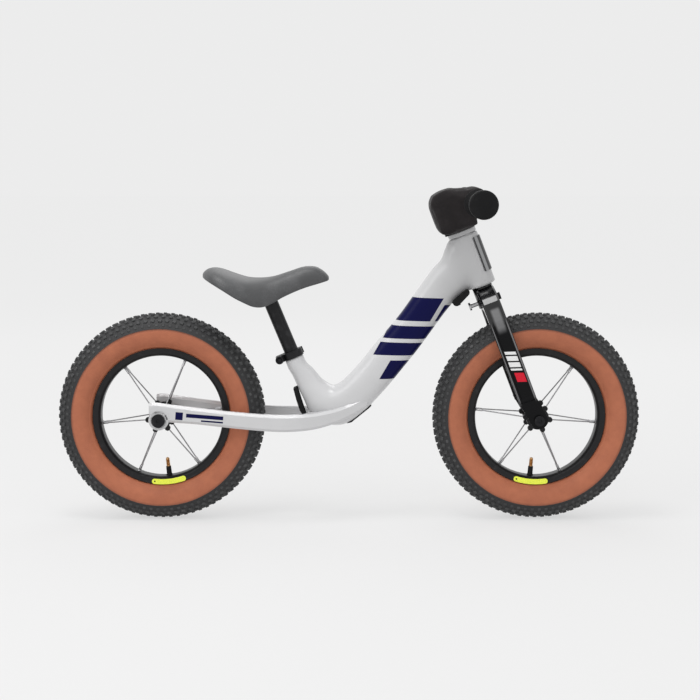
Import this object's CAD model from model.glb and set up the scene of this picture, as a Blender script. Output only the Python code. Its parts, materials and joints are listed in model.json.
"""Looks of a child's balance bike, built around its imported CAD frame. Metres."""
import json
import logging
import math
from dataclasses import dataclass, field
from enum import Enum
from typing import Any, Iterable, Sequence

import bmesh
import bpy
from mathutils import Matrix, Vector

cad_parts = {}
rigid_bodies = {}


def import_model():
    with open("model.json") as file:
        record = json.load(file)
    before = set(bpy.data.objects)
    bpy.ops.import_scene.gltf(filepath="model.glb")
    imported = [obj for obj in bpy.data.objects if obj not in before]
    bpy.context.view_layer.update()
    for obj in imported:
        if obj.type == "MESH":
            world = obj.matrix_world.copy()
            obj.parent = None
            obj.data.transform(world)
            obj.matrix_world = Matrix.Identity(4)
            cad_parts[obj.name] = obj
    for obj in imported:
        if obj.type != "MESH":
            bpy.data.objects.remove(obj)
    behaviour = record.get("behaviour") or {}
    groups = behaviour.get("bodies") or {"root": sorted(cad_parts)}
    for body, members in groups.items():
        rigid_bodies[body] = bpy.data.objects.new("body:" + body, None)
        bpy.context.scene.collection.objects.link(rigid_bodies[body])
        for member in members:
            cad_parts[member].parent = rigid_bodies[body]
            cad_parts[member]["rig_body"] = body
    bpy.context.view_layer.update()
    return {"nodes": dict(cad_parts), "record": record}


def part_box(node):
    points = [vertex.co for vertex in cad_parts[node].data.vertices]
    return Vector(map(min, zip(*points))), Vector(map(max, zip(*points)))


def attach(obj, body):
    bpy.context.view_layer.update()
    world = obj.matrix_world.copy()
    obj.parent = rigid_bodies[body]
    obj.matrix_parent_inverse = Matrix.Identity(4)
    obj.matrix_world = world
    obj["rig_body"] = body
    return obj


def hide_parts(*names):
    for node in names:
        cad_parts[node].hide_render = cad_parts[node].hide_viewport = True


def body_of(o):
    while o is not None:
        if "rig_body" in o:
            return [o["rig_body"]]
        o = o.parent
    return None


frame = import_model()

log = logging.getLogger("balance_bike")
MM = 0.001
Point = tuple[float, float]
Colour = tuple[float, float, float]
JOINTS = {joint["name"]: joint for joint in frame["record"]["behaviour"]["joints"]}


class Body(str, Enum):
    """The rigid bodies of the bike."""

    FRAME = "frame"
    FORK = "fork"
    FRONT_WHEEL = "front_wheel"
    REAR_WHEEL = "rear_wheel"
    SEAT = "seat"
    LEVER = "lever"


# ------------------------------------------------------------------ shader maths
class Value:
    """A number that varies over a surface; Python's operators on it add Math nodes."""

    def __init__(self, shader: "Shader", socket: Any) -> None:
        """Wrap a socket of the given shader."""
        self.shader = shader
        self.socket = socket

    def math(self, operation: str, *others: "Value | float", clamp: bool = False) -> "Value":
        """Add one Math node.

        Args:
            operation: the Math node's operation.
            others: its second and third operands.
            clamp: whether the result is kept between 0 and 1.

        Returns:
            The node's result.
        """
        inputs = {index: value for index, value in enumerate((self, *others))}
        settings = {"operation": operation, "use_clamp": clamp}
        return self.shader.value("ShaderNodeMath", settings, inputs)

    def __add__(self, other: "Value | float") -> "Value":
        """Add."""
        return self.math("ADD", other)

    __radd__ = __add__

    def __mul__(self, other: "Value | float") -> "Value":
        """Multiply."""
        return self.math("MULTIPLY", other)

    __rmul__ = __mul__

    def __sub__(self, other: "Value | float") -> "Value":
        """Subtract."""
        return self.math("SUBTRACT", other)

    def __rsub__(self, other: "Value | float") -> "Value":
        """Subtract this from a number."""
        return (self * -1.0) + other

    def sin(self) -> "Value":
        """Return the sine."""
        return self.math("SINE")

    def absolute(self) -> "Value":
        """Return the distance from zero."""
        return self.math("ABSOLUTE")

    def high(self, other: "Value | float") -> "Value":
        """Return the higher of two values."""
        return self.math("MAXIMUM", other)

    def wrap(self, top: float) -> "Value":
        """Repeat between 0 and a number."""
        return self.math("WRAP", top, 0.0)

    def ramp(self, start: float, end: float) -> "Value":
        """Rise smoothly from 0 at start to 1 at end."""
        inputs = {0: self, 1: start, 2: end, 3: 0.0, 4: 1.0}
        return self.shader.value("ShaderNodeMapRange", {"interpolation_type": "SMOOTHSTEP"}, inputs)

    def band(self, start: float, end: float, soft: float) -> "Value":
        """Return 1 between two numbers and 0 outside them, with a soft edge."""
        return self.ramp(start - soft, start + soft) * (1.0 - self.ramp(end - soft, end + soft))


class Shader:
    """A material under construction."""

    def __init__(self, name: str) -> None:
        """Start an empty material under a name that no packed material has."""
        self.material = bpy.data.materials.new(f"looks_{name}")
        self.material.use_nodes = True
        self.tree = self.material.node_tree
        self.tree.nodes.clear()
        self.output = self.tree.nodes.new("ShaderNodeOutputMaterial")

    def node(self, kind: str, settings: dict[str, Any], inputs: dict[Any, Any]) -> bpy.types.Node:
        """Add a node.

        Args:
            kind: the node's type.
            settings: its own settings, made first.
            inputs: values or links for its sockets, by name or place.

        Returns:
            The node.
        """
        node = self.tree.nodes.new(kind)
        for key, setting in settings.items():
            setattr(node, key, setting)
        for key, entry in inputs.items():
            if isinstance(entry, Value):
                self.tree.links.new(entry.socket, node.inputs[key])
            elif isinstance(entry, bpy.types.NodeSocket):
                self.tree.links.new(entry, node.inputs[key])
            else:
                node.inputs[key].default_value = entry
        return node

    def value(self, kind: str, settings: dict[str, Any], inputs: dict[Any, Any], out: Any = 0) -> Value:
        """Add a node and return one of its outputs as a value."""
        return Value(self, self.node(kind, settings, inputs).outputs[out])

    def position(self, centre: Sequence[float] = (0, 0, 0), turn: Sequence[float] = (0, 0, 0)) -> Any:
        """Return object coordinates measured from a centre, turned by angles in radians.

        Args:
            centre: the pattern's own origin.
            turn: the pattern's rotation.

        Returns:
            A vector socket.
        """
        coords = self.node("ShaderNodeTexCoord", {}, {}).outputs["Object"]
        settings = {"vector_type": "TEXTURE"}
        inputs = {"Vector": coords, "Location": tuple(centre), "Rotation": tuple(turn)}
        return self.node("ShaderNodeMapping", settings, inputs).outputs[0]

    def steered(self) -> Any:
        """Return object coordinates measured from the steering axis: ahead, to the side and up it."""
        joint = JOINTS["steering"]
        lean = math.atan2(-joint["axis"][0], joint["axis"][2])
        return self.position(joint["pos_m"], (0, -lean, 0))

    def split(self, vector: Any) -> tuple[Value, Value, Value]:
        """Return the three parts of a vector."""
        node = self.node("ShaderNodeSeparateXYZ", {}, {0: vector})
        return Value(self, node.outputs[0]), Value(self, node.outputs[1]), Value(self, node.outputs[2])

    def noise(self, vector: Any, size: float, detail: float = 3.0, rough: float = 0.55) -> Value:
        """Return noise whose patches are about the given size in metres."""
        inputs = {"Vector": vector, "Scale": 1.0 / size, "Detail": detail, "Roughness": rough}
        return self.value("ShaderNodeTexNoise", {}, inputs)

    def cells(self, vector: Any, size: float, feature: str = "F1") -> Value:
        """Return the distance inside cells of the given size in metres."""
        inputs = {"Vector": vector, "Scale": 1.0 / size}
        return self.value("ShaderNodeTexVoronoi", {"feature": feature}, inputs, "Distance")

    def mix(self, factor: Value | float, low: Any, high: Any) -> Any:
        """Mix two colours.

        Args:
            factor: 0 gives the first colour and 1 the second.
            low: the first colour, or a colour socket.
            high: the second.

        Returns:
            A colour socket.
        """
        node = self.node("ShaderNodeMix", {"data_type": "RGBA"}, {})
        for key, entry in ((0, factor), (6, low), (7, high)):
            if isinstance(entry, Value):
                self.tree.links.new(entry.socket, node.inputs[key])
            elif isinstance(entry, bpy.types.NodeSocket):
                self.tree.links.new(entry, node.inputs[key])
            else:
                node.inputs[key].default_value = (*entry, 1.0) if isinstance(entry, tuple) else entry
        return node.outputs[2]

    def bump(self, height: Value, depth: float, strength: float = 1.0) -> Any:
        """Return a normal bent by a height of 0 to 1 that stands for a depth in metres."""
        inputs = {"Height": height, "Distance": depth, "Strength": strength}
        return self.node("ShaderNodeBump", {}, inputs).outputs[0]

    def finish(self, **sockets: Any) -> bpy.types.Material:
        """Close the material with a Principled shader; keys are its sockets' names, with _ for spaces."""
        inputs = {key.replace("_", " "): entry for key, entry in sockets.items()}
        for key, entry in inputs.items():
            if isinstance(entry, tuple) and len(entry) == 3:
                inputs[key] = (*entry, 1.0)
        node = self.node("ShaderNodeBsdfPrincipled", {}, inputs)
        self.tree.links.new(node.outputs[0], self.output.inputs[0])
        return self.material


# ------------------------------------------------------------------ finishes
@dataclass(frozen=True)
class Finish:
    """A surface finish that makes its material once."""

    name: str

    def build(self) -> bpy.types.Material:
        """Make the material."""
        raise NotImplementedError

    def material(self) -> bpy.types.Material:
        """Return the material, made at its first use."""
        found = bpy.data.materials.get(f"looks_{self.name}")
        return found or self.build()


@dataclass(frozen=True)
class GlossPaint(Finish):
    """Sprayed gloss paint under a clear coat, with slight orange peel and dust."""

    colour: Colour
    shade: Colour
    roughness: float = 0.32
    coat: float = 0.8
    specular: float = 0.5

    def decals(self, shader: Shader, base: Any) -> tuple[Any, Value | float]:
        """Return the base colour and the clear coat; plain paint has no printed graphics."""
        return base, self.coat

    def build(self) -> bpy.types.Material:
        """Make the paint."""
        shader = Shader(self.name)
        place = shader.position()
        cloud = shader.noise(place, 0.09, 2.0)
        dust = shader.noise(place, 0.0035, 4.0).ramp(0.58, 0.8)
        peel = shader.noise(place, 0.0022, 2.0)
        base = shader.mix(cloud.ramp(0.3, 0.7), self.colour, self.shade)
        base, coat = self.decals(shader, base)
        normal = shader.bump(peel, 0.00002, 0.35)
        return shader.finish(Base_Color=base, Roughness=cloud * 0.1 + dust * 0.12 + (self.roughness - 0.05),
                             Coat_Weight=coat, Coat_Roughness=0.06, Normal=normal,
                             Specular_IOR_Level=self.specular)


@dataclass(frozen=True)
class FramePaint(GlossPaint):
    """White frame paint with plain navy blocks on the main tube and the stays."""

    ink: Colour = (0.0025, 0.003, 0.046)
    far: Colour = (0.43, 0.43, 0.435)
    start: Point = (0.0616, 0.2235)
    end: Point = (0.1360, 0.3500)

    def decals(self, shader: Shader, base: Any) -> tuple[Any, Value | float]:
        """Print slanted navy blocks along the tube and short bars on the stays."""
        ahead, _, _ = shader.split(shader.position())
        base = shader.mix(ahead.ramp(0.06, 0.19), base, self.far)
        run = (self.end[0] - self.start[0], self.end[1] - self.start[1])
        lean = math.atan2(run[1], run[0])
        length = math.hypot(*run)
        along, _, across = shader.split(shader.position((self.start[0], 0, self.start[1]), (0, -lean, 0)))
        slant = along + across * 0.55
        soft = 0.00025
        low = slant.band(0.000, 0.034, soft) * across.band(-0.040, 0.0125, soft)
        middle = slant.band(0.043, 0.096, soft) * across.band(-0.0235, 0.040, soft)
        slit = slant.band(0.066, 0.073, soft)
        high = slant.band(0.105, length, soft) * across.band(-0.010, 0.040, soft)
        thin = slant.band(0.105, length - 0.012, soft) * across.band(-0.040, -0.0165, soft)
        mask = low.high(middle * (1.0 - slit)).high(high).high(thin)
        along, side, up = shader.split(shader.position((-0.268, 0, 0.1705), (0, math.radians(4.5), 0)))
        outer = side.absolute().ramp(0.050, 0.0512)
        block = along.band(0.0, 0.0115, soft) * up.band(-0.006, 0.006, soft)
        bar = along.band(0.0165, 0.074, soft) * up.band(-0.0012, 0.0048, soft)
        under = along.band(0.040, 0.074, soft) * up.band(-0.0062, -0.0036, soft)
        stay = outer * block.high(bar).high(under)
        inked = mask.high(stay)
        return shader.mix(inked, base, self.ink), (1.0 - inked) * self.coat


@dataclass(frozen=True)
class ForkPaint(GlossPaint):
    """Gloss black fork paint, rubbed pale on its edges, with white and red bars on each leg."""

    white: Colour = (0.78, 0.78, 0.78)
    red: Colour = (0.62, 0.015, 0.035)
    rubbed: Colour = (0.21, 0.21, 0.215)

    def decals(self, shader: Shader, base: Any) -> tuple[Any, Value | float]:
        """Print slanted bars outside each leg and rub its edges and shoulder."""
        ahead, side, up = shader.split(shader.steered())
        outer = side.absolute().ramp(0.0485, 0.0495)
        soft = 0.0002
        slant = up + ahead * 0.35
        inside = ahead.band(-0.0060, 0.0105, soft)
        white = slant.band(-0.137, -0.106, soft) * inside
        slots = (slant + 0.137).wrap(0.0103).band(0.0032, 0.0056, soft)
        red = slant.band(-0.156, -0.141, soft) * ahead.band(-0.0030, 0.0110, soft)
        base = shader.mix(outer * white * (1.0 - slots), base, self.white)
        base = shader.mix(outer * red, base, self.red)
        rubbed = ahead.band(0.0128, 0.0150, 0.0004).high(ahead.band(-0.0112, -0.0096, 0.0003))
        rubbed = outer * rubbed * up.band(-0.188, -0.060, 0.006)
        shoulder = outer * up.band(-0.072, -0.034, 0.007) * ahead.band(-0.0035, 0.0095, 0.0025)
        base = shader.mix(rubbed.high(shoulder) * 0.8, base, self.rubbed)
        gloss = up.band(-0.060, -0.002, 0.005) * (1.0 - self.coat) + self.coat
        return base, gloss


@dataclass(frozen=True)
class Alloy(Finish):
    """Anodised or plated metal with fine brushing, rubbed lighter in patches."""

    colour: Colour
    worn: Colour
    roughness: float = 0.38
    metallic: float = 1.0

    def build(self) -> bpy.types.Material:
        """Make the metal."""
        shader = Shader(self.name)
        place = shader.position()
        stretched = shader.node("ShaderNodeVectorMath", {"operation": "MULTIPLY"},
                                {0: place, 1: (1.0, 9.0, 1.0)}).outputs[0]
        brush = shader.noise(stretched, 0.0012, 3.0, 0.7)
        patch = shader.noise(place, 0.014, 4.0, 0.6)
        base = shader.mix(patch.ramp(0.52, 0.78), self.colour, self.worn)
        rough = patch * 0.16 + brush * 0.10 + (self.roughness - 0.12)
        return shader.finish(Base_Color=base, Metallic=self.metallic, Roughness=rough,
                             Normal=shader.bump(brush, 0.00003, 0.5))


@dataclass(frozen=True)
class BadgePlate(Finish):
    """A blank pressed plate: a bright flat between dark rolled edges."""

    bright: Colour
    dark: Colour

    def build(self) -> bpy.types.Material:
        """Make the plate."""
        shader = Shader(self.name)
        place = shader.steered()
        ahead, _, _ = shader.split(place)
        flat = ahead.band(0.0142, 0.0190, 0.0009)
        brush = shader.noise(place, 0.0012, 3.0, 0.7)
        fade = flat * (brush * 0.3 + 0.7)
        return shader.finish(Base_Color=shader.mix(fade, self.dark, self.bright), Metallic=0.6,
                             Roughness=brush * 0.12 + 0.28, Normal=shader.bump(brush, 0.00003, 0.5))


@dataclass(frozen=True)
class Rubber(Finish):
    """Moulded rubber: fine speckle, dust in the hollows and a dull sheen."""

    colour: Colour
    dust: Colour
    roughness: float = 0.72
    grain: float = 0.0009
    specular: float = 0.22

    def build(self) -> bpy.types.Material:
        """Make the rubber."""
        shader = Shader(self.name)
        place = shader.position()
        speckle = shader.noise(place, self.grain, 3.0, 0.6)
        patch = shader.noise(place, 0.02, 4.0)
        base = shader.mix((patch * 0.7 + speckle * 0.3).ramp(0.45, 0.72), self.colour, self.dust)
        return shader.finish(Base_Color=base, Roughness=patch * 0.14 + (self.roughness - 0.06),
                             Specular_IOR_Level=self.specular, Normal=shader.bump(speckle, 0.00012, 0.7))


@dataclass(frozen=True)
class TyreWall(Finish):
    """Tan tyre sidewall with casing threads, black towards the tread and at the bead."""

    centre: Sequence[float]
    tan: Colour
    tan_dark: Colour
    black: Colour
    bead_r: float
    edge_r: float

    def build(self) -> bpy.types.Material:
        """Make the sidewall."""
        shader = Shader(self.name)
        place = shader.position(self.centre)
        x, _, z = shader.split(place)
        radius = (x * x + z * z).math("SQRT")
        angle = z.math("ARCTAN2", x)
        twist = (radius - self.bead_r) * 42.0
        thread_a = ((angle + twist) * 310.0).sin()
        thread_b = ((angle - twist) * 310.0).sin()
        weave = (thread_a.high(thread_b) + 1.0) * 0.5
        rings = (radius * 2600.0).sin() * radius.band(self.bead_r, self.bead_r + 0.007, 0.0004)
        cloud = shader.noise(place, 0.018, 5.0, 0.6)
        speck = shader.noise(place, 0.0016, 3.0)
        shade = (cloud * 0.6 + weave * 0.25 + speck * 0.15).ramp(0.3, 0.75)
        tan = shader.mix(shade, self.tan_dark, self.tan)
        edge = radius + (speck - 0.5) * 0.0006
        mask = edge.band(self.bead_r - 0.001, self.edge_r, 0.00035)
        shadow = edge.ramp(self.edge_r - 0.004, self.edge_r) * 0.35
        base = shader.mix(mask * (1.0 - shadow), self.black, tan)
        height = weave * 0.25 + speck * 0.35 + rings * 0.5
        return shader.finish(Base_Color=base, Roughness=cloud * 0.15 + 0.58,
                             Normal=shader.bump(height, 0.00018, 0.6))


@dataclass(frozen=True)
class Cloth(Finish):
    """Tightly woven black cloth with a soft bloom of lint."""

    colour: Colour
    lint: Colour
    thread: float = 0.0009

    def build(self) -> bpy.types.Material:
        """Make the cloth."""
        shader = Shader(self.name)
        place = shader.steered()
        x, y, z = shader.split(place)
        turn = 2 * math.pi / self.thread
        warp = ((x + y) * turn).sin()
        weft = (z * turn).sin()
        weave = (warp * weft + 1.0) * 0.5
        patch = shader.noise(place, 0.016, 4.0)
        fuzz = shader.noise(place, 0.0006, 2.0)
        base = shader.mix((patch * 0.5 + fuzz * 0.5).ramp(0.42, 0.75), self.colour, self.lint)
        height = weave * 0.6 + fuzz * 0.4
        return shader.finish(Base_Color=base, Roughness=patch * 0.1 + 0.72, Sheen_Weight=0.08,
                             Sheen_Roughness=0.5, Specular_IOR_Level=0.2,
                             Normal=shader.bump(height, 0.0002, 0.6))


@dataclass(frozen=True)
class SaddleSkin(Finish):
    """Matte charcoal skin with a fine pebble grain, a little polished on top."""

    colour: Colour
    rubbed: Colour

    def build(self) -> bpy.types.Material:
        """Make the skin."""
        shader = Shader(self.name)
        place = shader.position()
        pebble = shader.cells(place, 0.0014)
        crease = shader.cells(place, 0.0031, "F2")
        patch = shader.noise(place, 0.03, 4.0)
        base = shader.mix((patch * 0.75 + pebble * 0.25).ramp(0.4, 0.75), self.colour, self.rubbed)
        height = pebble * 0.6 + crease * 0.4
        return shader.finish(Base_Color=base, Roughness=patch * 0.14 + 0.42, Sheen_Weight=0.08,
                             Normal=shader.bump(height, 0.00012, 0.5))


@dataclass(frozen=True)
class Reflective(Finish):
    """Yellow reflective film with a fine honeycomb of prisms."""

    colour: Colour
    line: Colour

    def build(self) -> bpy.types.Material:
        """Make the film."""
        shader = Shader(self.name)
        place = shader.position()
        comb = shader.cells(place, 0.0024, "DISTANCE_TO_EDGE").ramp(0.02, 0.10)
        patch = shader.noise(place, 0.02, 2.0)
        base = shader.mix(comb, self.line, self.colour)
        return shader.finish(Base_Color=base, Roughness=patch * 0.1 + 0.22, Emission_Color=base,
                             Emission_Strength=0.12, Coat_Weight=0.5,
                             Normal=shader.bump(comb, 0.00006, 0.5))


@dataclass(frozen=True)
class Backdrop(Finish):
    """The studio's pale matt floor, which glows a little more where the lamps reach it less."""

    colour: Colour
    near_glow: Colour
    far_glow: Colour

    def build(self) -> bpy.types.Material:
        """Make the floor."""
        shader = Shader(self.name)
        place = shader.position()
        mottle = shader.noise(place, 0.6, 2.0)
        base = shader.mix(mottle, self.colour, tuple(0.99 * part for part in self.colour))
        ahead, side, _ = shader.split(place)
        away = (ahead * ahead + side * side).math("SQRT")
        glow = shader.mix(away.ramp(0.3, 3.2), self.near_glow, self.far_glow)
        return shader.finish(Base_Color=base, Roughness=0.9, Specular_IOR_Level=0.0, Emission_Color=glow,
                             Emission_Strength=1.0)


WHITE = FramePaint("frame_white", (0.585, 0.585, 0.592), (0.555, 0.555, 0.562), 0.30, 0.5, 0.1)
FORK_BLACK = ForkPaint("fork_black", (0.003, 0.003, 0.0035), (0.004, 0.004, 0.005), 0.24, 0.05, 0.1)
BLACK_ALLOY = Alloy("black_alloy", (0.012, 0.012, 0.013), (0.03, 0.03, 0.032), 0.42, 0.6)
RIM_BLACK = Alloy("rim_black", (0.010, 0.010, 0.011), (0.024, 0.024, 0.026), 0.36, 0.5)
STEEL = Alloy("plated_steel", (0.46, 0.46, 0.47), (0.62, 0.62, 0.62), 0.30, 1.0)
SPOKE_STEEL = Alloy("spoke_steel", (0.30, 0.30, 0.31), (0.44, 0.44, 0.45), 0.32, 1.0)
GREY_METAL = BadgePlate("badge_grey", (0.34, 0.345, 0.35), (0.035, 0.035, 0.037))
BLACK_STEEL = Alloy("black_steel", (0.02, 0.02, 0.022), (0.06, 0.06, 0.06), 0.4, 0.9)
BRASS = Alloy("valve_brass", (0.50, 0.29, 0.13), (0.66, 0.44, 0.22), 0.3, 1.0)
RUBBER = Rubber("black_rubber", (0.0075, 0.0075, 0.008), (0.014, 0.014, 0.0145), 0.58, 0.0009, 0.12)
TREAD = Rubber("tread_rubber", (0.034, 0.035, 0.036), (0.080, 0.080, 0.081), 0.66, 0.0009, 0.5)
PLASTIC = Rubber("base_plastic", (0.010, 0.010, 0.011), (0.020, 0.020, 0.021), 0.5, 0.0014)
PAD_CLOTH = Cloth("pad_cloth", (0.011, 0.009, 0.0095), (0.026, 0.022, 0.023))
SKIN = SaddleSkin("saddle_skin", (0.050, 0.051, 0.053), (0.084, 0.085, 0.088))
YELLOW = Reflective("reflective_yellow", (0.78, 0.86, 0.05), (0.60, 0.70, 0.03))
PALE = Backdrop("studio_pale", (0.22, 0.22, 0.22), (0.583, 0.583, 0.583), (0.651, 0.651, 0.651))


# ------------------------------------------------------------------ mesh tools
@dataclass
class Piece:
    """How a finished mesh joins the bike."""

    name: str
    finish: Finish
    body: Body
    slot: str
    nodes: tuple[str, ...] = ()

    def place(self, mesh: bmesh.types.BMesh, sharp: float = 35.0) -> bpy.types.Object:
        """Turn a bmesh into an object that rides on its body.

        Args:
            mesh: the finished shape, which is freed.
            sharp: edges that turn by more than this many degrees stay crisp.

        Returns:
            The new object.
        """
        bmesh.ops.remove_doubles(mesh, verts=mesh.verts, dist=1e-6)
        bmesh.ops.recalc_face_normals(mesh, faces=mesh.faces)
        for face in mesh.faces:
            face.smooth = True
        for edge in mesh.edges:
            crisp = len(edge.link_faces) == 2 and edge.calc_face_angle(0.0) > math.radians(sharp)
            edge.smooth = not crisp
        thing = stand(self.name, mesh, self.finish)
        self.join(thing)
        return thing

    def join(self, thing: bpy.types.Object) -> None:
        """Let an object ride and the nodes that it replaces."""
        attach(thing, self.body.value)
        if self.nodes:
            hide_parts(*self.nodes)
        log.info("piece %s rides on %s", self.name, self.body.value)


def stand(name: str, mesh: bmesh.types.BMesh, finish: Finish) -> bpy.types.Object:
    """Turn a bmesh, which is freed, into an object of the scene with one finish."""
    data = bpy.data.meshes.new(name)
    mesh.to_mesh(data)
    mesh.free()
    thing = bpy.data.objects.new(name, data)
    bpy.context.scene.collection.objects.link(thing)
    data.materials.append(finish.material())
    return thing


def frame_matrix(origin: Vector, along: Vector, side: Vector) -> Matrix:
    """Return a matrix whose local z lies along one direction and local y along another."""
    along = along.normalized()
    side = (side - along * side.dot(along)).normalized()
    across = side.cross(along)
    turn = Matrix((across, side, along)).transposed().to_4x4()
    return Matrix.Translation(origin) @ turn


def lathe(mesh: bmesh.types.BMesh, profile: Sequence[Point], place: Matrix, steps: int = 64) -> None:
    """Spin an outline about local z.

    Args:
        mesh: the shape to add to.
        profile: radius and height of each corner, from one end to the other.
        place: where the local frame goes.
        steps: how many faces go round.
    """
    known = set(mesh.verts)
    corners = [mesh.verts.new((radius, 0, height)) for radius, height in profile]
    edges = [mesh.edges.new(pair) for pair in zip(corners, corners[1:])]
    bmesh.ops.spin(mesh, geom=corners + edges, cent=(0, 0, 0), axis=(0, 0, 1), angle=2 * math.pi,
                   steps=steps, use_merge=True)
    fresh = [vert for vert in mesh.verts if vert not in known]
    bmesh.ops.remove_doubles(mesh, verts=fresh, dist=2e-6)
    fresh = [vert for vert in mesh.verts if vert not in known]
    bmesh.ops.transform(mesh, matrix=place, verts=fresh)


def rounded(profile: Sequence[Point], radius: float, parts: int = 3) -> list[Point]:
    """Round the inner corners of an outline.

    Args:
        profile: the outline's corners.
        radius: the rounding's size.
        parts: how many edges stand for each rounding.

    Returns:
        The outline with each inner corner swapped for a small arc.
    """
    points = [Vector(point) for point in profile]
    result = [points[0]]
    for before, corner, after in zip(points, points[1:], points[2:]):
        back, ahead = before - corner, after - corner
        reach = min(radius, 0.45 * back.length, 0.45 * ahead.length)
        start = corner + back.normalized() * reach
        end = corner + ahead.normalized() * reach
        for part in range(parts + 1):
            t = part / parts
            result.append(start * (1 - t) ** 2 + corner * 2 * t * (1 - t) + end * t ** 2)
    result.append(points[-1])
    return [tuple(point) for point in result]


def loft(mesh: bmesh.types.BMesh, rings: Sequence[Sequence[Vector]], closed_ends: bool = True) -> list[Any]:
    """Extrude a ring of corners through a row of stations.

    Args:
        mesh: the shape to add to.
        rings: one list of corners for each station, all of the same length.
        closed_ends: whether the two ends get a face.

    Returns:
        The edges that run from station to station, by corner.
    """
    corners = [mesh.verts.new(point) for point in rings[0]]
    pairs = list(zip(corners, corners[1:] + corners[:1]))
    loop = [mesh.edges.new(pair) for pair in pairs]
    if closed_ends:
        mesh.faces.new(corners)
    rails: list[list[Any]] = [[] for _ in corners]
    for ring in rings[1:]:
        made = bmesh.ops.extrude_edge_only(mesh, edges=loop)["geom"]
        fresh = [item for item in made if isinstance(item, bmesh.types.BMVert)]
        loop = [item for item in made if isinstance(item, bmesh.types.BMEdge)
                and all(vert in fresh for vert in item.verts)]
        ahead = []
        for index, vert in enumerate(corners):
            rail = next(edge for edge in vert.link_edges if edge.other_vert(vert) in fresh)
            rails[index].append(rail)
            ahead.append(rail.other_vert(vert))
        for vert, point in zip(ahead, ring):
            vert.co = point
        corners = ahead
    if closed_ends:
        mesh.faces.new(list(reversed(corners)))
    return rails


def subdivide(thing: bpy.types.Object, levels: int) -> None:
    """Add a Subdivision Surface modifier."""
    surface = thing.modifiers.new("surface", "SUBSURF")
    surface.levels = surface.render_levels = levels


def soften(thing: bpy.types.Object, width: float, segments: int = 2, angle: float = 30.0) -> None:
    """Round the crisp edges of a piece and keep its flats flat.

    Args:
        thing: the piece.
        width: the rounding's size in metres.
        segments: how many faces make it.
        angle: edges that turn by less than this many degrees are left.
    """
    edge = thing.modifiers.new("edges", "BEVEL")
    edge.width = width
    edge.segments = segments
    edge.limit_method = "ANGLE"
    edge.angle_limit = math.radians(angle)
    edge.harden_normals = False
    weighted = thing.modifiers.new("flats", "WEIGHTED_NORMAL")
    weighted.keep_sharp = False


def settle(thing: bpy.types.Object) -> None:
    """Apply an object's modifiers to its mesh."""
    graph = bpy.context.evaluated_depsgraph_get()
    fresh = bpy.data.meshes.new_from_object(thing.evaluated_get(graph))
    old = thing.data
    thing.modifiers.clear()
    thing.data = fresh
    bpy.data.meshes.remove(old)


def centre_of(node: str) -> Vector:
    """Return the middle of a node's box."""
    low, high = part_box(node)
    return (Vector(low) + Vector(high)) / 2


class SteeringFrame:
    """Points given ahead of and along the steering axis, in millimetres."""

    def __init__(self) -> None:
        """Read the axis from the steering joint."""
        joint = JOINTS["steering"]
        self.origin = Vector(joint["pos_m"])
        self.up = Vector(joint["axis"]).normalized()
        self.ahead = Vector((self.up.z, 0, -self.up.x))

    def at(self, ahead: float, side: float, up: float) -> Vector:
        """Return a point from its distances in millimetres."""
        return self.origin + (self.ahead * ahead + self.up * up) * MM + Vector((0, side * MM, 0))

    def along(self, up: float = 0.0) -> Matrix:
        """Return a matrix whose z lies along the axis."""
        return frame_matrix(self.at(0, 0, up), self.up, Vector((0, 1, 0)))


def catmull(rows: Sequence[Sequence[float]], steps: int) -> list[list[float]]:
    """Return rows of numbers with smooth rows between them.

    Args:
        rows: the stations, each with as many numbers.
        steps: how many rows come from each gap.

    Returns:
        The finer rows.
    """
    result = []
    last = len(rows) - 1
    for index in range(last):
        before, here = rows[max(index - 1, 0)], rows[index]
        there, after = rows[index + 1], rows[min(index + 2, last)]
        for step in range(steps):
            t = step / steps
            row = []
            for a, b, c, d in zip(before, here, there, after):
                slope_in, slope_out = (c - a) / 2, (d - b) / 2
                cubic = 2 * b - 2 * c + slope_in + slope_out
                square = -3 * b + 3 * c - 2 * slope_in - slope_out
                row.append(((cubic * t + square) * t + slope_in) * t + b)
            result.append(row)
    result.append(list(rows[-1]))
    return result


def oval(half_width: float, half_height: float, power: float, count: int) -> list[Point]:
    """Return a superellipse: a power of 2 is round and a higher one squarer."""
    points = []
    for number in range(count):
        angle = 2 * math.pi * (number + 0.5) / count
        cosine, sine = math.cos(angle), math.sin(angle)
        points.append((half_width * math.copysign(abs(cosine) ** (2 / power), cosine),
                       half_height * math.copysign(abs(sine) ** (2 / power), sine)))
    return points


def soft_box(half_width: float, half_height: float, radius: float, parts: int = 4) -> list[Point]:
    """Return a rectangle with rounded corners."""
    radius = min(radius, 0.98 * half_width, 0.98 * half_height)
    points = []
    for quarter, (sign_x, sign_y) in enumerate(((1, 1), (-1, 1), (-1, -1), (1, -1))):
        for part in range(parts + 1):
            angle = math.pi / 2 * (quarter + part / parts)
            points.append((sign_x * (half_width - radius) + radius * math.cos(angle),
                           sign_y * (half_height - radius) + radius * math.sin(angle)))
    return points


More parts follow.
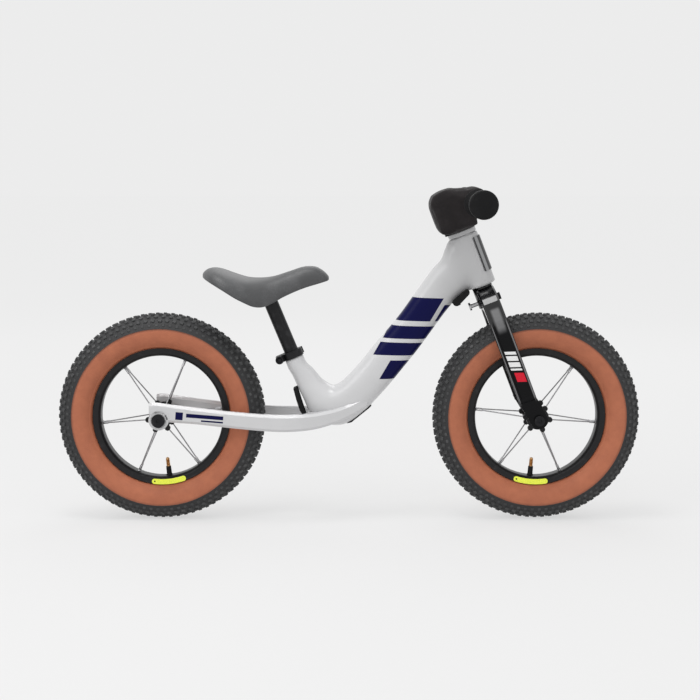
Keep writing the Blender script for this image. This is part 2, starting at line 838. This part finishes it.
@dataclass
class CarriedParts:
    """CAD nodes whose shape is kept: their edges are softened and they get their finish."""

    finishes: dict[str, tuple[Finish, float]]
    plain: dict[str, Finish]

    def softened(self, node: str, finish: Finish, width: float) -> bpy.types.Object:
        """Return a copy of a node with merged faces and rounded edges.

        Args:
            node: the CAD node.
            finish: what it is made of.
            width: the rounding in millimetres.

        Returns:
            The copy, which replaces the node.
        """
        source = frame["nodes"][node]
        mesh = bmesh.new()
        mesh.from_mesh(source.data)
        bmesh.ops.remove_doubles(mesh, verts=mesh.verts, dist=2e-6)
        bmesh.ops.dissolve_limit(mesh, angle_limit=math.radians(1.0), verts=mesh.verts, edges=mesh.edges)
        for face in mesh.faces:
            face.smooth = True
        for edge in mesh.edges:
            edge.smooth = edge.calc_face_angle(0.0) < math.radians(32)
        thing = stand(f"{node}_looks", mesh, finish)
        if width:
            soften(thing, width * MM)
        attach(thing, body_of(source)[0])
        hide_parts(node)
        return thing

    def build(self) -> None:
        """Soften what shows and dress the rest."""
        for node, (finish, width) in self.finishes.items():
            self.softened(node, finish, width)
            log.info("softened %s", node)
        for node, finish in self.plain.items():
            thing = frame["nodes"][node]
            for slot in thing.material_slots:
                slot.material = finish.material()
            if not thing.material_slots:
                thing.data.materials.append(finish.material())


@dataclass
class FrameLooks:
    """The white frame: one swept tube, the head tube, two stays and their bridge. Millimetres."""

    steering: SteeringFrame
    # upper x and z, lower x and z, half width and squareness of each section, in millimetres
    tube: tuple = (
        (-72.5, 261.0, -100.2, 249.6, 15.0, 2.0), (-66.6, 247.8, -94.7, 236.2, 15.3, 2.0),
        (-57.0, 239.0, -88.5, 226.0, 16.0, 2.1), (-43.0, 222.5, -81.0, 209.5, 18.0, 2.2),
        (-31.0, 214.0, -72.0, 191.0, 22.0, 2.3), (-22.0, 211.5, -62.0, 170.0, 26.0, 2.4),
        (-12.0, 216.5, -42.0, 152.0, 29.0, 2.5), (-3.8, 224.1, -8.0, 149.5, 30.0, 2.6),
        (8.0, 236.5, 24.0, 170.5, 28.0, 2.6), (20.3, 250.9, 44.4, 191.2, 26.5, 2.6),
        (32.0, 265.5, 63.8, 213.1, 25.5, 2.6), (44.3, 281.1, 85.4, 239.8, 24.5, 2.6),
        (63.5, 302.9, 106.8, 266.6, 23.5, 2.6), (82.6, 327.0, 128.5, 296.5, 22.8, 2.6),
        (106.4, 360.6, 150.5, 327.0, 22.3, 2.6), (130.3, 394.1, 168.0, 347.0, 22.2, 2.5),
        (144.0, 409.5, 183.0, 358.5, 22.5, 2.4), (154.5, 436.0, 189.5, 363.4, 22.6, 2.3),
        (172.3, 443.4, 201.3, 367.8, 22.8, 2.2),
    )
    # x, lower and upper z, outer side and thickness of a stay's sections
    stay: tuple = (
        (-309.0, 171.0, 189.6, 54.5, 9.5), (-300.0, 163.0, 190.8, 54.5, 9.5),
        (-288.0, 160.3, 189.4, 54.5, 9.5), (-274.0, 159.3, 187.2, 54.5, 9.8),
        (-255.0, 158.0, 184.7, 54.5, 12.5), (-232.0, 156.2, 181.6, 54.5, 14.5),
        (-190.0, 151.4, 176.8, 54.5, 14.5), (-129.0, 145.6, 171.6, 54.5, 14.5),
        (-92.0, 144.5, 170.6, 53.8, 15.5), (-55.0, 147.5, 172.5, 49.5, 18.5),
        (-20.0, 156.0, 178.5, 40.5, 21.5), (5.0, 166.0, 187.0, 31.5, 21.5),
        (28.0, 179.0, 199.0, 23.5, 19.5),
    )
    # x, lower and upper z and half width of the bridge
    bridge: tuple = (
        (-64.0, 150.0, 170.0, 43.0), (-52.0, 150.2, 171.5, 41.5), (-40.0, 151.5, 173.0, 38.5),
        (-12.0, 159.5, 179.5, 31.0), (14.0, 172.0, 190.0, 21.0),
    )
    head_bore: float = 18.2
    head_r: float = 23.0
    head_length: float = 84.0
    seam_back: float = -34.0
    seam_front: float = 6.0
    seam_end: float = 5.0
    boss_r: float = 15.5
    boss_in: float = 45.0
    boss_out: float = 54.5
    chamfer: float = 4.2

    def sweep_tube(self, mesh: bmesh.types.BMesh) -> None:
        """Loft the main tube from the seat collar round the yoke to the head tube."""
        rings = []
        for row in catmull(self.tube, 5):
            inner, outer = Vector((row[0], 0, row[1])), Vector((row[2], 0, row[3]))
            middle, across = (inner + outer) / 2, (outer - inner) / 2
            ring = [(middle + Vector((0, side, 0)) + across.normalized() * reach) * MM
                    for side, reach in oval(row[4], across.length, row[5], 48)]
            rings.append(ring)
        loft(mesh, rings)

    def turn_head_tube(self, mesh: bmesh.types.BMesh) -> None:
        """Spin the head tube with its two rounded rims."""
        bore, outside, top = self.head_bore, self.head_r, self.head_length
        profile = rounded([(bore, 6.0), (bore, 0.0), (outside, 0.0), (outside, top), (bore, top),
                           (bore, top - 6.0)], 1.3)
        profile.append(profile[0])
        lathe(mesh, scaled(profile), self.steering.along(), 96)

    def build(self) -> None:
        """Make the swept body and the two stays with their bridge."""
        mesh = bmesh.new()
        self.sweep_tube(mesh)
        self.turn_head_tube(mesh)
        piece = Piece("frame_body", WHITE, Body.FRAME, "frame_paint", ("frame",))
        self.blend(piece.place(mesh, 40.0))
        mesh = bmesh.new()
        for side in (-1, 1):
            self.loft_stay(mesh, side)
        rings = [[Vector((x, across, (low + high) / 2 + rise)) * MM
                  for across, rise in soft_box(half_width, (high - low) / 2, 6.0, 3)]
                 for x, low, high, half_width in catmull(self.bridge, 4)]
        loft(mesh, rings)
        thing = Piece("frame_stays", WHITE, Body.FRAME, "frame_paint", ("frame",)).place(mesh, 30.0)
        soften(thing, 1.0 * MM, 3, 28.0)

    def blend(self, thing: bpy.types.Object) -> None:
        """Merge the tube with the head tube and run a soft fillet along their seam.

        Args:
            thing: the object that holds both closed shapes.
        """
        remesh = thing.modifiers.new("remesh", "REMESH")
        remesh.mode = "VOXEL"
        remesh.voxel_size = 1.7 * MM
        settle(thing)
        mesh = bmesh.new()
        mesh.from_mesh(thing.data)
        seam = []
        for vert in mesh.verts:
            away = vert.co - self.steering.origin
            ahead, up = away.dot(self.steering.ahead) / MM, away.dot(self.steering.up) / MM
            inside = math.hypot(ahead, away.y / MM) < self.head_bore + 1.8
            near = self.seam_back < ahead < self.seam_front
            if near and not inside and self.seam_end < up < self.head_length - self.seam_end:
                seam.append(vert)
        for verts, rounds in ((list(mesh.verts), 4), (seam, 40)):
            for _ in range(rounds):
                bmesh.ops.smooth_vert(mesh, verts=verts, factor=0.5, use_axis_x=True, use_axis_y=True,
                                      use_axis_z=True)
        for face in mesh.faces:
            face.smooth = True
        mesh.to_mesh(thing.data)
        mesh.free()
        thing.data.materials.clear()
        thing.data.materials.append(WHITE.material())

    def loft_stay(self, mesh: bmesh.types.BMesh, side: int) -> None:
        """Loft one stay and spin the boss that holds the axle."""
        rings = []
        for x, low, high, outer, thickness in catmull(self.stay, 4):
            centre = Vector((x, side * (outer - thickness / 2), (low + high) / 2))
            section = soft_box(thickness / 2, (high - low) / 2, self.chamfer, 1)
            rings.append([(centre + Vector((0, across, rise))) * MM for across, rise in section])
        loft(mesh, rings)
        hub = centre_of("rear_tyre")
        profile = rounded([(0, self.boss_in), (self.boss_r, self.boss_in), (self.boss_r, self.boss_out),
                           (11.6, self.boss_out), (11.6, self.boss_out - 0.9), (0, self.boss_out - 0.9)], 0.9)
        lathe(mesh, scaled([(radius, side * height) for radius, height in profile]), axle_matrix(hub), 72)


def scaled(points: Iterable[Point]) -> list[Point]:
    """Turn millimetres into metres."""
    return [(a * MM, b * MM) for a, b in points]


def axle_matrix(centre: Vector) -> Matrix:
    """Return a matrix whose z lies along the bike's axles, at a wheel's centre."""
    return frame_matrix(Vector((centre.x, 0, centre.z)), Vector((0, 1, 0)), Vector((0, 0, 1)))


@dataclass
class ForkLooks:
    """The black fork: two legs and the crown in one bent section, with panelled legs."""

    steering: SteeringFrame
    # outer side and height, inner side and height, panel depth of each section of one half
    half: tuple = (
        (51.5, -196.0, 41.0, -196.0, 0.0), (51.4, -186.0, 40.8, -186.0, 0.0),
        (51.4, -183.0, 40.7, -183.0, 1.3), (51.2, -130.0, 39.8, -130.0, 1.3),
        (50.7, -70.0, 37.8, -70.0, 1.3), (50.5, -56.0, 37.4, -58.0, 1.2), (50.3, -52.0, 37.0, -55.0, 0.0),
        (50.0, -41.0, 36.0, -49.0, 0.0), (47.0, -26.0, 32.5, -42.0, 0.0), (34.0, -12.0, 24.0, -37.5, 0.0),
        (18.0, -4.0, 12.0, -36.5, 0.0), (8.0, -2.5, 5.0, -36.5, 0.0),
    )
    front: float = 16.0
    rear: float = -12.0
    panel: float = 9.4
    dropout_r: float = 13.4

    def section(self, row: Sequence[float], side: int) -> list[Vector]:
        """Return the corners of one section, panel first."""
        outer_y, outer_s, inner_y, inner_s, depth = row
        middle, half = (self.front + self.rear) / 2, (self.front - self.rear) / 2
        cut = 2.6
        out = Vector((outer_y - inner_y, outer_s - inner_s))
        span = out.length
        out.normalize()
        corners = [(-half + cut, span), (-self.panel, span), (-self.panel + depth, span - depth),
                   (self.panel - depth, span - depth), (self.panel, span), (half - cut, span),
                   (half, span - cut), (half, cut), (half - cut, 0), (-half + cut, 0), (-half, cut),
                   (-half, span - cut)]
        return [self.steering.at(middle + ahead, side * (inner_y + out.x * away), inner_s + out.y * away)
                for ahead, away in corners]

    def build(self) -> None:
        """Make the fork."""
        mesh = bmesh.new()
        rings = [self.section(row, -1) for row in self.half]
        rings += [self.section(row, 1) for row in reversed(self.half)]
        loft(mesh, rings)
        for side in (-1, 1):
            self.dropout(mesh, side)
        profile = rounded([(0, -34.0), (16.0, -34.0), (16.0, -0.8), (14.5, -0.8), (0, -0.8)], 1.5)
        lathe(mesh, scaled(profile), self.steering.along(), 64)
        thing = Piece("fork_legs", FORK_BLACK, Body.FORK, "fork_paint", ("fork",)).place(mesh, 25.0)
        soften(thing, 1.1 * MM, 3, 22.0)

    def dropout(self, mesh: bmesh.types.BMesh, side: int) -> None:
        """Hull the disc round the axle with the foot of the leg."""
        centre = self.steering.ahead.dot(centre_of("front_tyre") - self.steering.origin) / MM
        drop = self.steering.up.dot(centre_of("front_tyre") - self.steering.origin) / MM
        outline = [(centre + self.dropout_r * math.cos(turn), drop + self.dropout_r * math.sin(turn))
                   for turn in (2 * math.pi * number / 40 for number in range(40))]
        outline += [(-12.5, -189.0), (16.2, -190.0), (18.6, -206.0), (-8.5, -200.0)]
        verts = [mesh.verts.new(self.steering.at(ahead, side * across, up))
                 for across in (45.0, 54.5) for ahead, up in outline]
        hull = bmesh.ops.convex_hull(mesh, input=verts)
        loose = [item for item in hull["geom_interior"] if isinstance(item, bmesh.types.BMVert)]
        bmesh.ops.delete(mesh, geom=loose, context="VERTS")
        left = [vert for vert in verts if vert.is_valid]
        edges = {edge for vert in left for edge in vert.link_edges}
        bmesh.ops.dissolve_limit(mesh, angle_limit=math.radians(2), verts=left, edges=list(edges))


@dataclass
class Wheel:
    """One wheel: casing, tread, rim, spokes, hub, valve and reflector. Millimetres."""

    end: str
    body: Body
    first_spoke: float
    valve_angle: float
    pitches: int = 84
    tyre_r: float = 163.0
    bead_r: float = 108.3
    tan_r: float = 139.3
    rim_r: float = 108.0
    rim_inner: float = 95.6
    rim_half: float = 15.0
    spoke_r: float = 1.0
    directions: int = 6
    centre: Vector = field(init=False)
    place: Matrix = field(init=False)

    def __post_init__(self) -> None:
        """Find the wheel's centre in the frame."""
        self.centre = centre_of(f"{self.end}_tyre")
        self.place = axle_matrix(self.centre)

    def radial(self, angle: float, radius: float, side: float) -> Vector:
        """Return a point from its angle in degrees, its radius and its side."""
        turn = math.radians(angle)
        return self.centre + Vector((radius * math.cos(turn), side, radius * math.sin(turn))) * MM

    def piece(self, part: str, finish: Finish, slot: str, *nodes: str) -> Piece:
        """Describe a piece of this wheel."""
        replaced = tuple(f"{self.end}_{node}" for node in nodes)
        return Piece(f"{self.end}_{part}", finish, self.body, slot, replaced)

    def casing(self) -> None:
        """Spin the tyre's casing, with ridges at the bead and round the tan wall."""
        wall = [(99.8, 12.2), (108.6, 13.2), (110.2, 16.8), (111.0, 18.6), (111.7, 18.9), (113.4, 20.7),
                (117.4, 24.2), (121.5, 26.6), (127.0, 28.3), (133.5, 29.0), (137.6, 28.9), (138.6, 28.7),
                (139.0, 29.3), (140.4, 29.2), (141.2, 28.4), (144.5, 27.1), (148.0, 25.0), (152.0, 21.4),
                (155.6, 16.8), (158.2, 11.2), (159.6, 5.6), (160.0, 0.0)]
        profile = wall + [(radius, -side) for radius, side in reversed(wall[:-1])]
        mesh = bmesh.new()
        lathe(mesh, scaled(profile + profile[:1]), self.place, 160)
        finish = TyreWall(f"{self.end}_wall", tuple(self.centre), (0.445, 0.142, 0.068), (0.34, 0.100, 0.047),
                          (0.018, 0.018, 0.019), self.bead_r * MM, self.tan_r * MM)
        self.piece("casing", finish, "tyre", "tyre").place(mesh, 50.0)

    def lug(self, mesh: bmesh.types.BMesh, lean: float, turn: float, size: Sequence[float],
            yaw: float) -> None:
        """Add one tread block.

        Args:
            mesh: the tread.
            lean: degrees from the tyre's crown round its section.
            turn: degrees round the wheel.
            size: length, width and height.
            yaw: degrees that the block is turned on the tyre.
        """
        tilt = math.radians(lean)
        surface = Vector((132.5 + 27.4 * math.cos(tilt), 28.6 * math.sin(tilt), 0))
        out = Vector((math.cos(tilt) / 27.4, math.sin(tilt) / 28.6, 0)).normalized()
        origin = Vector((surface.x, 0, surface.y)) + Vector((out.x, 0, out.y)) * (size[2] / 2 - 1.2)
        place = frame_matrix(origin, Vector((out.x, 0, out.y)), Vector((0, 1, 0)))
        known = set(mesh.verts)
        made = bmesh.ops.create_cube(mesh, size=1.0)["verts"]
        bmesh.ops.scale(mesh, vec=(size[1], size[0], size[2]), verts=made)
        top = [vert for vert in made if vert.co.z > 0]
        bmesh.ops.scale(mesh, vec=(0.80, 0.82, 1.0), verts=top)
        spin = Matrix.Rotation(math.radians(yaw), 3, "Z")
        bmesh.ops.rotate(mesh, cent=(0, 0, 0), matrix=spin, verts=made)
        edges = list({edge for vert in top for edge in vert.link_edges})
        bmesh.ops.bevel(mesh, geom=edges, offset=0.45, offset_type="OFFSET", segments=1, profile=0.5,
                        affect="EDGES", material=-1, clamp_overlap=True)
        made = [vert for vert in mesh.verts if vert not in known]
        bmesh.ops.transform(mesh, matrix=place, verts=made)
        spin = Matrix.Rotation(math.radians(turn), 3, "Z")
        bmesh.ops.rotate(mesh, cent=(0, 0, 0), matrix=spin, verts=made)

    def tread(self) -> None:
        """Lay out the blocks of one pitch and repeat them round the tyre."""
        mesh = bmesh.new()
        pitch = 360 / self.pitches
        for side in (-1, 1):
            offset = 0.5 * pitch if side > 0 else 0.0
            self.lug(mesh, side * 11.5, offset, (6.4, 6.6, 4.2), side * 12)
            self.lug(mesh, side * 30.0, offset + 0.45 * pitch, (6.2, 5.6, 4.1), side * -14)
            self.lug(mesh, side * 48.0, offset + 0.05 * pitch, (6.6, 5.6, 4.0), side * 16)
            self.lug(mesh, side * 63.5, offset + 0.55 * pitch, (5.4, 4.8, 3.1), side * -10)
        geometry = list(mesh.verts) + list(mesh.edges) + list(mesh.faces)
        bmesh.ops.spin(mesh, geom=geometry, cent=(0, 0, 0), axis=(0, 0, 1), use_duplicate=True,
                       angle=2 * math.pi * (self.pitches - 1) / self.pitches, steps=self.pitches - 1)
        bmesh.ops.scale(mesh, vec=(MM, MM, MM), verts=mesh.verts)
        bmesh.ops.transform(mesh, matrix=self.place, verts=mesh.verts)
        self.piece("tread", TREAD, "tyre", "tyre").place(mesh, 20.0)

    def rim(self) -> None:
        """Spin the rim with its hooked flanges and its inner well."""
        half, inner, outer = self.rim_half, self.rim_inner, self.rim_r
        side = [(inner, 0), (inner, 8.2), (inner + 0.6, 10.8), (inner + 3.6, half - 0.5), (inner + 4.6, half),
                (outer - 2.2, half), (outer - 1.6, half + 0.5), (outer, half + 0.2), (outer, half - 1.4),
                (outer - 5.0, half - 2.4), (inner + 4.4, 10.0), (inner + 2.6, 7.0)]
        profile = side + [(radius, -height) for radius, height in reversed(side[1:])]
        mesh = bmesh.new()
        lathe(mesh, scaled(rounded(profile + profile[:1], 0.5, 2)), self.place, 160)
        self.piece("rim_looks", RIM_BLACK, "black_alloy", "rim").place(mesh, 40.0)

    def rods(self) -> None:
        """Stretch two spokes in each direction, with their bent heads and nipples."""
        spokes, nipples = bmesh.new(), bmesh.new()
        nipple = scaled([(0.9, -6.5), (1.7, -6.0), (1.9, 3.2), (2.7, 3.6), (2.7, 6.5), (0, 6.5)])
        for number in range(self.directions):
            angle = self.first_spoke + 360 * number / self.directions
            for side in (-1, 1):
                start = self.radial(angle, 17.0, side * 30.4)
                end = self.radial(angle, self.rim_inner - 5.0, side * 5.6)
                direction = end - start
                place = frame_matrix(start, direction, Vector((0, 1, 0)))
                length = direction.length
                lathe(spokes, [(0, -1.0 * MM), (self.spoke_r * MM, -0.8 * MM), (self.spoke_r * MM, length),
                               (0, length)], place, 12)
                place = frame_matrix(end, direction, Vector((0, 1, 0)))
                lathe(nipples, nipple, place, 12)
        self.piece("spoke_set", SPOKE_STEEL, "plain_steel", "spokes").place(spokes)
        self.piece("nipple_set", STEEL, "plain_steel", "nipples").place(nipples)

    def valve(self) -> None:
        """Spin the rubber stem and the threaded brass tip of the valve."""
        outside = self.radial(self.valve_angle, self.rim_inner + 3.0, 0)
        inward = (self.centre - outside).normalized()
        place = frame_matrix(outside, inward, Vector((0, 1, 0)))
        stem = bmesh.new()
        lathe(stem, scaled(rounded([(0, 0), (5.2, 0), (5.2, 3.8), (4.1, 5.2), (3.9, 17.2), (0, 17.2)], 0.7)),
              place, 32)
        self.piece("valve_stem", RUBBER, "black_rubber", "valve").place(stem)
        tip = bmesh.new()
        profile = [(0, 17.0), (3.1, 17.0), (3.1, 18.4)]
        for turn in range(10):
            profile += [(2.6, 18.8 + turn), (3.1, 19.3 + turn)]
        profile += [(2.5, 29.2), (2.3, 30.6), (1.4, 31.0), (1.4, 29.6), (0, 29.6)]
        lathe(tip, scaled(profile), place, 32)
        self.piece("valve_tip", BRASS, "valve_brass", "valve").place(tip, 50.0)

    def build(self) -> None:
        """Make the whole wheel."""
        self.casing()
        self.tread()
        self.rim()
        self.rods()
        self.valve()


@dataclass
class Cockpit:
    """The handlebar, its grips and the padded cover over the stem."""

    steering: SteeringFrame
    bar_r: float = 11.1
    bar_half: float = 188.5
    grip_in: float = 86.0
    grip_out: float = 194.0
    ribs: int = 26
    # ahead of the steering axis and above the bar, round the pad's side
    pad: tuple = (
        (-33, -28.5), (-33.5, -1.5), (-33, 24.5), (-25, 33.5), (-12, 36.5), (1, 36), (14, 30), (30, 25),
        (46, 22), (53.5, 15.5), (56.8, 3.5), (54, -13.5), (44, -19.5), (29, -22.5), (27, -33), (-22, -33),
    )
    pad_half: float = 38.0
    reach: float = field(init=False)
    height: float = field(init=False)

    def __post_init__(self) -> None:
        """Find the bar ahead of and along the steering axis."""
        away = centre_of("handlebar") - self.steering.origin
        self.reach = away.dot(self.steering.ahead) / MM
        self.height = away.dot(self.steering.up) / MM

    def bar_matrix(self) -> Matrix:
        """Return a matrix whose z lies along the bar."""
        return frame_matrix(self.steering.at(self.reach, 0, self.height), Vector((0, 1, 0)), self.steering.up)

    def build(self) -> None:
        """Make the bar, both grips and the pad."""
        mesh = bmesh.new()
        lathe(mesh, scaled([(0, -self.bar_half), (self.bar_r, -self.bar_half), (self.bar_r, self.bar_half),
                            (0, self.bar_half)]), self.bar_matrix(), 48)
        Piece("handlebar_looks", BLACK_ALLOY, Body.FORK, "black_alloy", ("handlebar",)).place(mesh)
        for side, name in ((1, "left_grip"), (-1, "right_grip")):
            self.grip(side, name)
        self.stem_pad()

    def grip(self, side: int, name: str) -> None:
        """Spin a ribbed grip with a flange inside and a round knob outside."""
        profile = [(11.15, self.grip_in), (20.6, self.grip_in), (21.5, self.grip_in + 0.9),
                   (21.5, self.grip_in + 2.8), (20.4, self.grip_in + 3.6), (17.0, self.grip_in + 4.6)]
        start, end = self.grip_in + 6.5, self.grip_out - 17.0
        step = (end - start) / self.ribs
        for rib in range(self.ribs):
            low = start + rib * step
            swell = 0.7 * math.sin(math.pi * rib / self.ribs)
            groove, crest = 15.2 + swell, 16.1 + swell
            profile += [(groove, low), (groove, low + 0.35 * step), (crest, low + 0.5 * step),
                        (crest, low + 0.85 * step)]
        out = self.grip_out
        profile += [(15.6, end), (17.2, out - 14.4), (20.6, out - 13.2), (21.4, out - 12.0),
                    (21.4, out - 3.0), (20.9, out - 1.4), (19.8, out - 0.4), (18.4, out), (0, out)]
        mesh = bmesh.new()
        lathe(mesh, scaled([(radius, side * height) for radius, height in profile]), self.bar_matrix(), 64)
        Piece(f"{name}_looks", RUBBER, Body.FORK, "black_rubber", (name,)).place(mesh, 50.0)

    def stem_pad(self) -> None:
        """Inflate the pad from its cut shape."""
        mesh = bmesh.new()
        inset = 1.0
        middle = Vector((10.0, self.height))
        outline = [middle + Vector(point) - Vector((10.0, 0.0)) for point in self.pad]
        outline = [point - (point - middle).normalized() * inset for point in outline]
        verts = [mesh.verts.new(self.steering.at(point.x, self.pad_half - 2.5, point.y)) for point in outline]
        face = mesh.faces.new(verts)
        made = bmesh.ops.extrude_face_region(mesh, geom=[face])["geom"]
        moved = [item for item in made if isinstance(item, bmesh.types.BMVert)]
        bmesh.ops.translate(mesh, vec=(0, -2 * (self.pad_half - 2.5) * MM, 0), verts=moved)
        thing = Piece("stem_pad_looks", PAD_CLOTH, Body.FORK, "pad_fabric", ("stem_pad",)).place(mesh, 180.0)
        remesh = thing.modifiers.new("remesh", "REMESH")
        remesh.mode = "VOXEL"
        remesh.voxel_size = 3.0 * MM
        settle(thing)
        inflate(thing, 2.5, 1.8 * MM)
        subdivide(thing, 1)
        smooth = thing.modifiers.new("relax", "SMOOTH")
        smooth.factor = 0.5
        smooth.iterations = 2
        settle(thing)
        for face in thing.data.polygons:
            face.use_smooth = True
        thing.data.materials.clear()
        thing.data.materials.append(PAD_CLOTH.material())


def inflate(thing: bpy.types.Object, pressure: float, cap: float) -> None:
    """Blow a closed mesh up as cloth and keep each corner near its start.

    Args:
        thing: the object, whose mesh changes.
        pressure: the air inside.
        cap: how far a corner may move, in metres.
    """
    start = [vert.co.copy() for vert in thing.data.vertices]
    cloth = thing.modifiers.new("air", "CLOTH")
    cloth.settings.use_pressure = True
    cloth.settings.uniform_pressure_force = pressure
    cloth.settings.effector_weights.gravity = 0.0
    cloth.settings.quality = 5
    cloth.point_cache.frame_start = 1
    cloth.point_cache.frame_end = 20
    for number in range(1, 21):
        bpy.context.scene.frame_set(number)
    settle(thing)
    bpy.context.scene.frame_set(1)
    for vert, origin in zip(thing.data.vertices, start):
        move = vert.co - origin
        if move.length > cap:
            vert.co = origin + move.normalized() * cap


@dataclass
class Saddle:
    """The moulded saddle cover over its base."""

    # x, lower and upper z, half width, in millimetres
    stations: tuple = (
        (-227.5, 384.6, 388.0, 12.0), (-226.0, 382.0, 390.0, 24.0), (-221.0, 379.0, 394.2, 38.0),
        (-212.0, 374.5, 396.4, 52.0), (-201.4, 368.6, 395.5, 59.5), (-190.0, 362.0, 391.9, 64.0),
        (-175.0, 352.5, 386.6, 64.5), (-160.0, 344.6, 382.2, 61.5), (-149.0, 339.2, 380.9, 57.0),
        (-138.0, 337.2, 380.8, 52.0), (-128.0, 338.6, 381.4, 46.5), (-118.0, 343.0, 383.0, 41.0),
        (-108.0, 348.5, 385.8, 36.0), (-98.0, 353.5, 389.2, 32.0), (-86.0, 358.8, 393.2, 28.6),
        (-75.0, 363.2, 397.0, 26.0), (-64.0, 367.0, 398.9, 24.2), (-52.0, 370.5, 398.2, 22.0),
        (-44.0, 372.8, 394.4, 19.5), (-38.0, 374.6, 390.0, 16.0), (-33.4, 376.0, 385.2, 11.0),
        (-31.2, 377.6, 382.0, 6.0),
    )
    wall: float = 4.5
    padding: float = 13.5

    def build(self) -> None:
        """Loft the cover, hollow from below."""
        rings = []
        for x, low, high, half in catmull(self.stations, 3):
            height = high - low
            inner_half = max(0.45 * half, half - self.wall)
            inner_height = max(0.18 * height, height - self.padding)
            ring = []
            for number in range(33):
                turn = math.pi * number / 32
                cosine, sine = math.cos(turn), math.sin(turn)
                ring.append((half * math.copysign(abs(cosine) ** 0.80, cosine),
                             low + height * abs(sine) ** 0.86))
            for number in range(21):
                turn = math.pi * (1 - number / 20)
                cosine, sine = math.cos(turn), math.sin(turn)
                ring.append((inner_half * math.copysign(abs(cosine) ** 0.75, cosine),
                             low + 0.6 + (inner_height - 0.6) * abs(sine) ** 0.8))
            rings.append([Vector((x, across, up)) * MM for across, up in ring])
        mesh = bmesh.new()
        loft(mesh, rings)
        thing = Piece("saddle_skin", SKIN, Body.SEAT, "saddle_skin", ("saddle_cover",)).place(mesh, 60.0)
        subdivide(thing, 1)


@dataclass
class Studio:
    """The pale floor, the soft lights and the camera."""

    camera_at: Sequence[float] = (0.0017, -2.479, 0.550)
    camera_tilt: float = 6.519
    lens: float = 81.66
    grey: float = 0.84

    def area(self, name: str, place: Sequence[float], size: float, power: float) -> None:
        """Hang one soft light that faces the bike's middle."""
        lamp = bpy.data.lights.new(name, "AREA")
        lamp.shape = "DISK"
        lamp.size = size
        lamp.energy = power
        thing = bpy.data.objects.new(name, lamp)
        thing.location = place
        aim = Vector((0.02, 0, 0.24)) - Vector(place)
        thing.rotation_euler = aim.to_track_quat("-Z", "Y").to_euler()
        bpy.context.scene.collection.objects.link(thing)

    def floor(self) -> None:
        """Lay a wide floor."""
        mesh = bmesh.new()
        bmesh.ops.create_grid(mesh, x_segments=8, y_segments=8, size=30.0)
        stand("floor", mesh, PALE)

    def build(self) -> None:
        """Set the camera, the world, the floor and the lights."""
        camera = bpy.data.cameras.new("camera")
        camera.lens = self.lens
        camera.sensor_width = 36.0
        thing = bpy.data.objects.new("camera", camera)
        thing.location = self.camera_at
        thing.rotation_euler = (math.radians(90 - self.camera_tilt), 0, 0)
        bpy.context.scene.collection.objects.link(thing)
        bpy.context.scene.camera = thing
        world = bpy.data.worlds.new("studio")
        bpy.context.scene.world = world
        world.use_nodes = True
        world.node_tree.nodes["Background"].inputs[0].default_value = (self.grey, self.grey, self.grey, 1)
        bpy.context.scene.view_settings.view_transform = "Standard"
        self.floor()
        self.area("key", (-1.4, -1.6, 2.0), 1.6, 15.0)
        self.area("fill", (1.8, -1.4, 1.3), 1.4, 3.0)
        self.area("rim", (0.3, 1.9, 1.9), 1.6, 9.0)
        self.area("top", (-0.45, -0.35, 2.4), 1.0, 20.0)


SOFTENED = {
    "head_badge": (GREY_METAL, 0.4), "tyre_guard": (RUBBER, 0.5), "skid_pad": (RUBBER, 0.6),
    "steering_stop": (RUBBER, 0.8), "seat_collar": (BLACK_ALLOY, 0.5), "skewer_nut": (BLACK_STEEL, 0.3),
    "collar_skewer": (BLACK_STEEL, 0.2), "clamp_lever": (BLACK_ALLOY, 0.5),
    "rear_axle_nuts": (BLACK_STEEL, 0.4),
    "front_axle_nuts": (BLACK_STEEL, 0.4), "headset_cover": (WHITE, 0.5), "stem": (BLACK_ALLOY, 0.5),
    "stem_faceplate": (BLACK_ALLOY, 0.5), "top_cap": (BLACK_ALLOY, 0.4), "crown_bolt": (STEEL, 0.3),
    "crown_bolt_nut": (BLACK_STEEL, 0.3), "front_hub": (BLACK_ALLOY, 0.3), "rear_hub": (BLACK_ALLOY, 0.3),
    "seatpost": (BLACK_ALLOY, 0.3), "saddle_clamp": (BLACK_STEEL, 0.5), "saddle_base": (PLASTIC, 0.0),
    "front_reflector": (YELLOW, 0.2), "rear_reflector": (YELLOW, 0.2),
}
PLAIN = {
    "stop_screws": STEEL, "upper_headset_bearing": STEEL, "lower_headset_bearing": STEEL, "rear_axle": STEEL,
    "rear_axle_spacers": STEEL, "front_axle": STEEL, "front_axle_spacers": STEEL, "steerer_tube": STEEL,
    "compression_ring": STEEL, "faceplate_bolts": BLACK_STEEL, "stem_pinch_bolts": BLACK_STEEL,
    "top_cap_bolt": BLACK_STEEL, "star_nut": STEEL, "saddle_bolts": STEEL, "front_inner_tube": RUBBER,
    "rear_inner_tube": RUBBER, "front_rim_tape": RUBBER, "rear_rim_tape": RUBBER, "front_hub_bearings": STEEL,
    "rear_hub_bearings": STEEL,
}


def main() -> None:
    """Build every sub-assembly in order."""
    steering = SteeringFrame()
    CarriedParts(SOFTENED, PLAIN).build()
    FrameLooks(steering).build()
    ForkLooks(steering).build()
    Wheel("rear", Body.REAR_WHEEL, 7.0, 276.0).build()
    Wheel("front", Body.FRONT_WHEEL, 53.8, 265.5).build()
    Cockpit(steering).build()
    Saddle().build()
    Studio().build()


if __name__ == "__main__":
    logging.basicConfig(level=logging.INFO)
    main()
